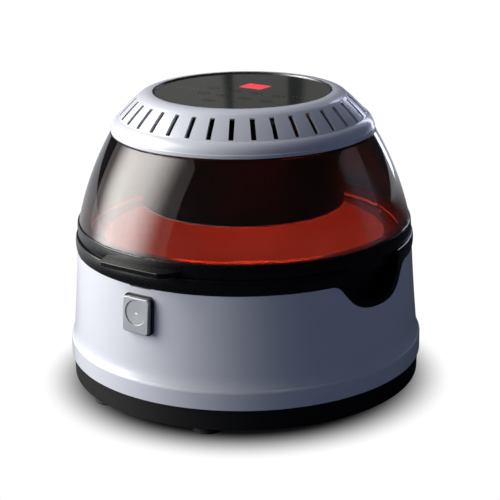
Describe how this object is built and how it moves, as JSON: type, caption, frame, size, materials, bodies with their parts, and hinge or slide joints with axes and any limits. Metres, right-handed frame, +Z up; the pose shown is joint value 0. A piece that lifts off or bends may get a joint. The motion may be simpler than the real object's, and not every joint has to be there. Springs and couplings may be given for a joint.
{
  "type": "air fryer oven",
  "caption": "Round countertop air fryer oven with a drop-in pot, a hinged clear-visor lid, a slotted cap with a touch panel and a push-button lid release.",
  "frame": {"origin": "on the floor under the centre of the base, at the middle of the bounding box", "axes": "+Z up through the axis of the round body, -Y towards the front with the release button, +X to the right of a person who faces the front"},
  "size_m": [0.34, 0.352, 0.2772],
  "materials": {
    "pearl_white": "satin gloss painted ABS",
    "black_satin": "satin moulded ABS",
    "black_matte": "matte moulded polypropylene",
    "smoked_clear": "smoked clear polycarbonate",
    "silver_button": "satin silver metallised ABS",
    "panel_black": "gloss black tempered panel",
    "bezel_silver": "brushed anodised",
    "steel_bright": "zinc plated",
    "steel_dark": "heat resistant black enamel",
    "liner_metal": "aluminised sheet",
    "pot_coating": "non-stick coating",
    "chrome_wire": "chrome plated wire",
    "rubber_black": "moulded rubber",
    "silicone_grey": "silicone",
    "element_steel": "oxidised stainless sheath",
    "circuit_green": "solder mask",
    "display_red": "lit filter",
    "nylon_white": "moulded nylon",
    "copper_winding": "lacquered",
    "magnet_nickel": "nickel plated"
  },
  "bodies": {
    "base": {"outer_shell": "pearl_white", "base_pan": "black_matte", "base_rim": "black_satin", "grip_cup_right": "black_matte", "grip_cup_left": "black_matte", "inner_liner": "liner_metal", "cooking_pot": "pot_coating", "wire_rack": "chrome_wire", "button_bezel": "black_satin", "latch_housing": "black_matte", "foot_screws": "steel_bright", "hinge_bracket": "black_satin", "hinge_screws": "steel_bright", "hinge_pin": "steel_bright", "hinge_spring": "steel_bright", "cable_gland": "rubber_black", "terminal_block": "nylon_white", "inlet_lead": "rubber_black", "power_board": "circuit_green", "lid_switch": "black_matte", "foot_front_right": "rubber_black", "foot_front_left": "rubber_black", "foot_rear_right": "rubber_black", "foot_rear_left": "rubber_black", "button_spring": "steel_bright"},
    "lid": {"lid_ring": "black_satin", "lid_seal": "silicone_grey", "lid_hinge_bracket": "black_satin", "lid_catch": "steel_bright", "lid_magnet": "magnet_nickel", "visor": "smoked_clear", "visor_trim": "black_satin", "top_cap": "pearl_white", "cap_base": "black_matte", "cap_screws": "steel_bright", "heater_shroud": "steel_dark", "heating_element_outer": "element_steel", "heating_element_inner": "element_steel", "fan_guard": "steel_bright", "shaft_bearing": "steel_bright", "motor_bracket": "steel_bright", "motor_housing": "steel_dark", "control_board": "circuit_green", "display_module": "display_red", "control_glass": "panel_black", "panel_bezel": "bezel_silver"},
    "rotor": {"motor_shaft": "steel_bright", "motor_rotor": "copper_winding", "convection_fan": "liner_metal", "cooling_fan": "black_matte"},
    "button": {"release_button": "silver_button", "latch_slider": "nylon_white"}
  },
  "joints": [
    {"name": "lid_hinge", "type": "hinge", "parent": "base", "child": "lid", "pos_m": [0, 0.17, 0.15], "axis": [-1, 0, 0], "range_deg": [0, 80], "deforming": ["hinge_spring"]},
    {"name": "fan_spin", "type": "hinge", "parent": "lid", "child": "rotor", "pos_m": [0, 0, 0.22], "axis": [0, 0, 1], "continuous": true},
    {"name": "button_press", "type": "slide", "parent": "base", "child": "button", "axis": [0, 1, 0], "range_m": [0, 0.003], "stiffness_N_per_m": 600, "springref_m": -0.002, "deforming": ["button_spring"]}
  ]
}
